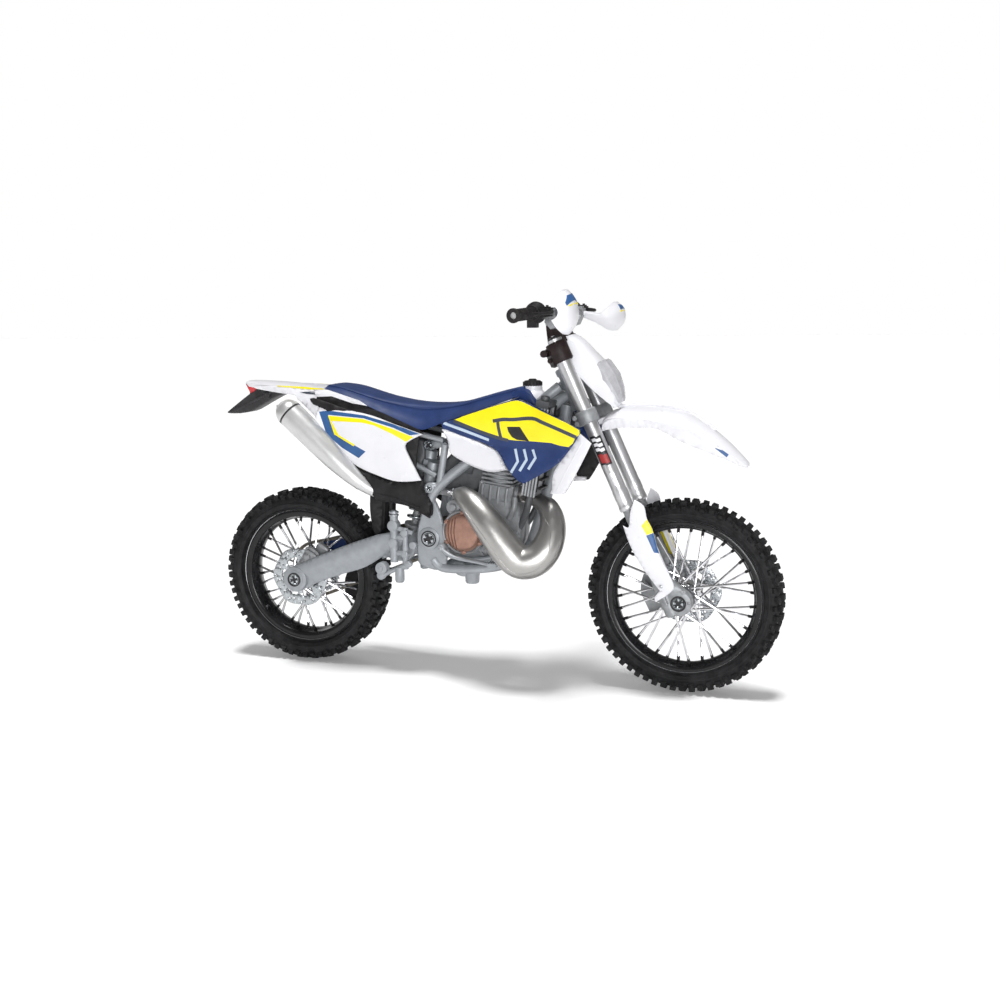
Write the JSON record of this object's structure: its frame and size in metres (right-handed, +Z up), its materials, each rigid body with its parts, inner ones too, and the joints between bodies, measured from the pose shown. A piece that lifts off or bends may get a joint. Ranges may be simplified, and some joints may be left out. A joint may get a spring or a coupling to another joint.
{
  "type": "scale model motorcycle",
  "caption": "Twelfth-scale enduro motorcycle with spoked wheels, sprung fork and swingarm, turning handlebar, two-stroke engine and plastic bodywork.",
  "frame": {"origin": "on the surface under both tyres, at the middle of the length and width", "axes": "+X forward, +Y to the rider's left, +Z up"},
  "size_m": [0.1808, 0.068, 0.1185],
  "materials": {
    "frame_paint": "satin light grey",
    "engine_paint": "satin grey casting",
    "copper_paint": "satin copper",
    "screw_steel": "bright",
    "black_plastic": "fine grain",
    "clamp_plastic": "satin brown-black",
    "pipe_silver": "satin silver",
    "radiator_grey": "satin",
    "white_plastic": "gloss",
    "blue_plastic": "satin navy",
    "seat_blue": "matt navy",
    "tail_red": "clear red",
    "lens_clear": "smoked clear",
    "bright_chrome": "plated plastic",
    "rim_black": "gloss",
    "tyre_rubber": "matt",
    "chain_metal": "dull",
    "fork_silver": "satin",
    "spring_steel": "bright",
    "grip_rubber": "ribbed"
  },
  "bodies": {
    "chassis": {"main_frame": "frame_paint", "subframe": "frame_paint", "frame_bolts": "screw_steel", "engine_case": "engine_paint", "cylinder_block": "engine_paint", "clutch_cover": "copper_paint", "ignition_cover": "engine_paint", "front_sprocket": "bright_chrome", "carburettor": "black_plastic", "expansion_chamber": "pipe_silver", "muffler": "pipe_silver", "radiators": "radiator_grey", "fuel_tank": "white_plastic", "tank_cap": "black_plastic", "shrouds": "blue_plastic", "seat": "seat_blue", "airbox": "black_plastic", "side_panels": "white_plastic", "rear_fender": "white_plastic", "tail_light": "tail_red", "plate_holder": "black_plastic", "inner_mudguard": "black_plastic", "brake_pedal": "frame_paint", "gear_lever": "frame_paint"},
    "side_stand": {"side_stand": "black_plastic"},
    "swingarm": {"swingarm": "frame_paint", "shock_linkage": "frame_paint", "rear_axle": "screw_steel", "rear_caliper": "engine_paint", "chain": "chain_metal", "chain_guide": "black_plastic"},
    "shock_body": {"shock_body": "engine_paint", "shock_spring": "spring_steel"},
    "shock_rod": {"shock_rod": "spring_steel"},
    "rear_wheel": {"rear_hub": "bright_chrome", "rear_spokes": "bright_chrome", "rear_rim": "rim_black", "rear_tyre": "tyre_rubber", "rear_disc": "bright_chrome", "rear_sprocket": "bright_chrome"},
    "steering": {"lower_clamp": "fork_silver", "upper_clamp": "clamp_plastic", "fork_tubes": "fork_silver", "fork_springs": "spring_steel", "handlebar": "fork_silver", "grips": "grip_rubber", "bar_controls": "black_plastic", "hand_guards": "white_plastic", "headlight_mask": "white_plastic", "headlight_lens": "lens_clear", "front_fender": "white_plastic"},
    "fork_slider": {"fork_legs": "fork_silver", "front_caliper": "engine_paint", "fork_guards": "white_plastic", "front_axle": "screw_steel"},
    "front_wheel": {"front_hub": "bright_chrome", "front_spokes": "bright_chrome", "front_rim": "rim_black", "front_tyre": "tyre_rubber", "front_disc": "bright_chrome"}
  },
  "joints": [
    {"name": "steering_turn", "type": "hinge", "parent": "chassis", "child": "steering", "pos_m": [0.05583, 0, 0.02652], "axis": [-0.4067, 0, 0.9135], "range_deg": [-25, 25]},
    {"name": "fork_travel", "type": "slide", "parent": "steering", "child": "fork_slider", "axis": [-0.4067, 0, 0.9135], "range_m": [0, 0.006], "stiffness_N_per_m": 300, "springref_m": -0.005, "deforming": ["fork_springs"]},
    {"name": "front_wheel_spin", "type": "hinge", "parent": "fork_slider", "child": "front_wheel", "pos_m": [0.0614, 0, 0.029], "axis": [0, 1, 0], "continuous": true},
    {"name": "swingarm_travel", "type": "hinge", "parent": "chassis", "child": "swingarm", "pos_m": [-0.0157, 0, 0.0438], "axis": [0, 1, 0], "range_deg": [0, 8], "stiffness_Nm_per_rad": 0.3, "springref_deg": -11.46},
    {"name": "rear_wheel_spin", "type": "hinge", "parent": "swingarm", "child": "rear_wheel", "pos_m": [-0.0621, 0, 0.0283], "axis": [0, 1, 0], "continuous": true},
    {"name": "shock_swing", "type": "hinge", "parent": "chassis", "child": "shock_body", "pos_m": [-0.0171, 0, 0.072], "axis": [0, 1, 0], "range_deg": [0, 2.1]},
    {"name": "shock_travel", "type": "slide", "parent": "shock_body", "child": "shock_rod", "axis": [0.262, 0, 0.9651], "range_m": [0, 0.0014], "deforming": ["shock_spring"]},
    {"name": "side_stand_fold", "type": "hinge", "parent": "chassis", "child": "side_stand", "pos_m": [-0.0105, 0.0112, 0.036], "axis": [0, 1, 0], "range_deg": [-80, 0]}
  ],
  "couplings": [
    {"joint": "shock_swing", "follows": "swingarm_travel", "ratio": 0.25},
    {"joint": "shock_travel", "follows": "swingarm_travel", "m_per_rad": 0.00924}
  ]
}
